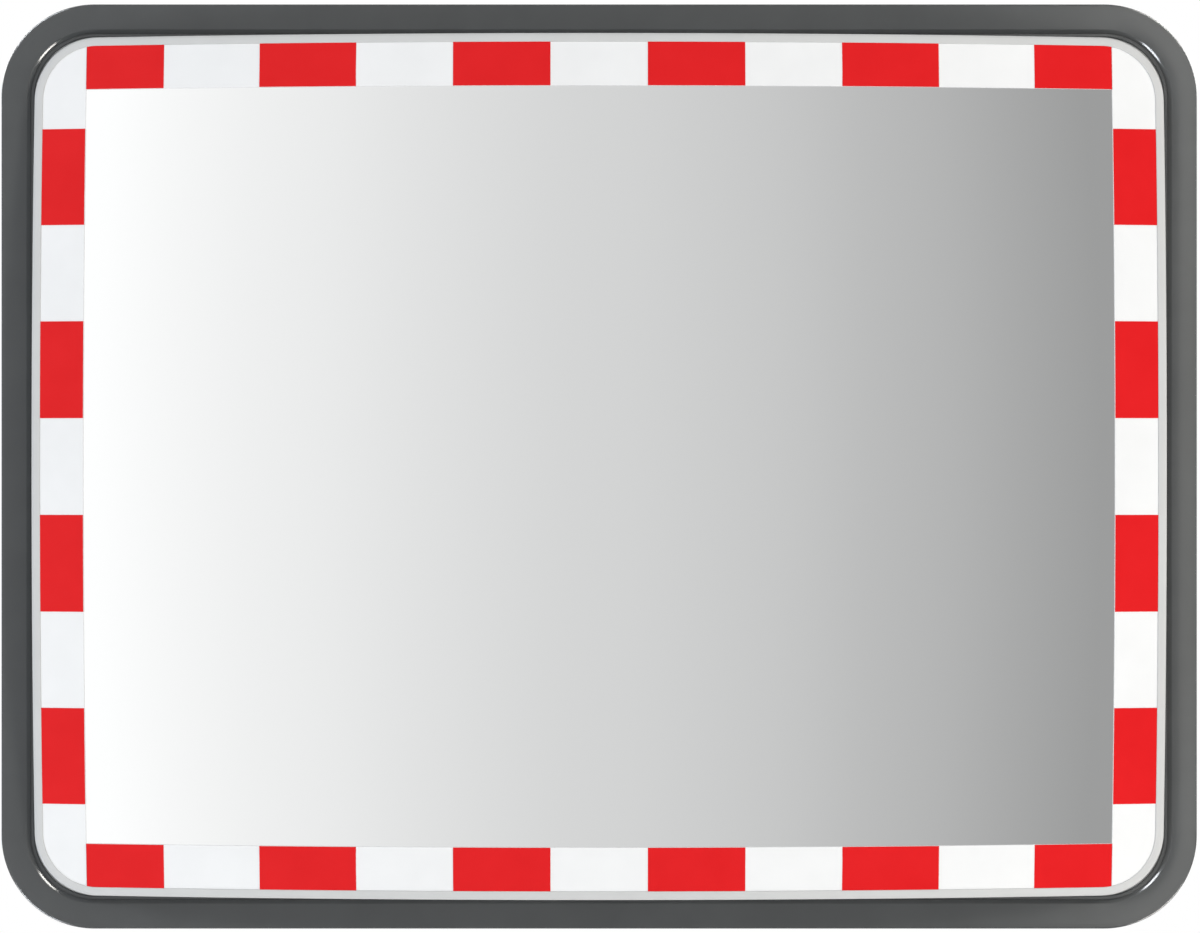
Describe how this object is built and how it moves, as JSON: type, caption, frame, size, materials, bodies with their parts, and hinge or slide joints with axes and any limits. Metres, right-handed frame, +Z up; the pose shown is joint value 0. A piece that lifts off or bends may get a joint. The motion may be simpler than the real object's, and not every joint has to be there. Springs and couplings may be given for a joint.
{
  "type": "convex mirror",
  "caption": "Rectangular convex mirror with a border of red and white reflective blocks, in a dark grey rounded frame, on a wall bracket that pans and tilts.",
  "frame": {"origin": "middle of the wall plate's back face, which lies on the wall", "axes": "+X along the mirror's long side, +Y into the wall, +Z up; the mirror faces -Y"},
  "size_m": [0.86, 0.3459, 0.665],
  "materials": {
    "mirrored_acrylic": "polished",
    "light_grey_plastic": "satin",
    "dark_grey_plastic": "satin",
    "grey_plastic": "matte",
    "black_rubber": "matte",
    "white_reflective_film": "satin",
    "red_reflective_film": "satin",
    "grey_coated_steel": "satin",
    "zinc_plated_steel": "satin"
  },
  "bodies": {
    "wall_bracket": {"wall_plate": "grey_coated_steel", "arm_tube": "grey_coated_steel", "arm_clevis": "grey_coated_steel", "pan_bolt": "zinc_plated_steel", "pan_head_washer": "zinc_plated_steel", "pan_nut_washer": "zinc_plated_steel", "pan_nut": "zinc_plated_steel"},
    "swivel_knuckle": {"knuckle": "grey_coated_steel"},
    "mirror_head": {"tilt_bolt": "zinc_plated_steel", "tilt_head_washer": "zinc_plated_steel", "tilt_nut_washer": "zinc_plated_steel", "tilt_nut": "zinc_plated_steel", "yoke": "grey_coated_steel", "yoke_bolt_1": "zinc_plated_steel", "yoke_washer_1": "zinc_plated_steel", "yoke_nut_1": "zinc_plated_steel", "yoke_bolt_2": "zinc_plated_steel", "yoke_washer_2": "zinc_plated_steel", "yoke_nut_2": "zinc_plated_steel", "yoke_bolt_3": "zinc_plated_steel", "yoke_washer_3": "zinc_plated_steel", "yoke_nut_3": "zinc_plated_steel", "yoke_bolt_4": "zinc_plated_steel", "yoke_washer_4": "zinc_plated_steel", "yoke_nut_4": "zinc_plated_steel", "stiffener_plate": "zinc_plated_steel", "rear_shell": "grey_plastic", "flange_gasket": "black_rubber", "rim_frame": "dark_grey_plastic", "lens_edging": "light_grey_plastic", "mirror_lens": "mirrored_acrylic", "film_left": "white_reflective_film", "film_right": "white_reflective_film", "film_top": "white_reflective_film", "film_bottom": "white_reflective_film", "red_block_top_1": "red_reflective_film", "red_block_top_2": "red_reflective_film", "red_block_top_3": "red_reflective_film", "red_block_top_4": "red_reflective_film", "red_block_top_5": "red_reflective_film", "red_block_top_6": "red_reflective_film", "red_block_bottom_1": "red_reflective_film", "red_block_bottom_2": "red_reflective_film", "red_block_bottom_3": "red_reflective_film", "red_block_bottom_4": "red_reflective_film", "red_block_bottom_5": "red_reflective_film", "red_block_bottom_6": "red_reflective_film", "red_block_left_1": "red_reflective_film", "red_block_left_2": "red_reflective_film", "red_block_left_3": "red_reflective_film", "red_block_left_4": "red_reflective_film", "red_block_right_1": "red_reflective_film", "red_block_right_2": "red_reflective_film", "red_block_right_3": "red_reflective_film", "red_block_right_4": "red_reflective_film"}
  },
  "joints": [
    {"name": "pan", "type": "hinge", "parent": "wall_bracket", "child": "swivel_knuckle", "pos_m": [0, -0.1506, 0], "axis": [0, 0, 1], "range_deg": [-25, 25]},
    {"name": "tilt", "type": "hinge", "parent": "swivel_knuckle", "child": "mirror_head", "pos_m": [0, -0.2006, 0], "axis": [1, 0, 0], "range_deg": [-15, 15]}
  ]
}
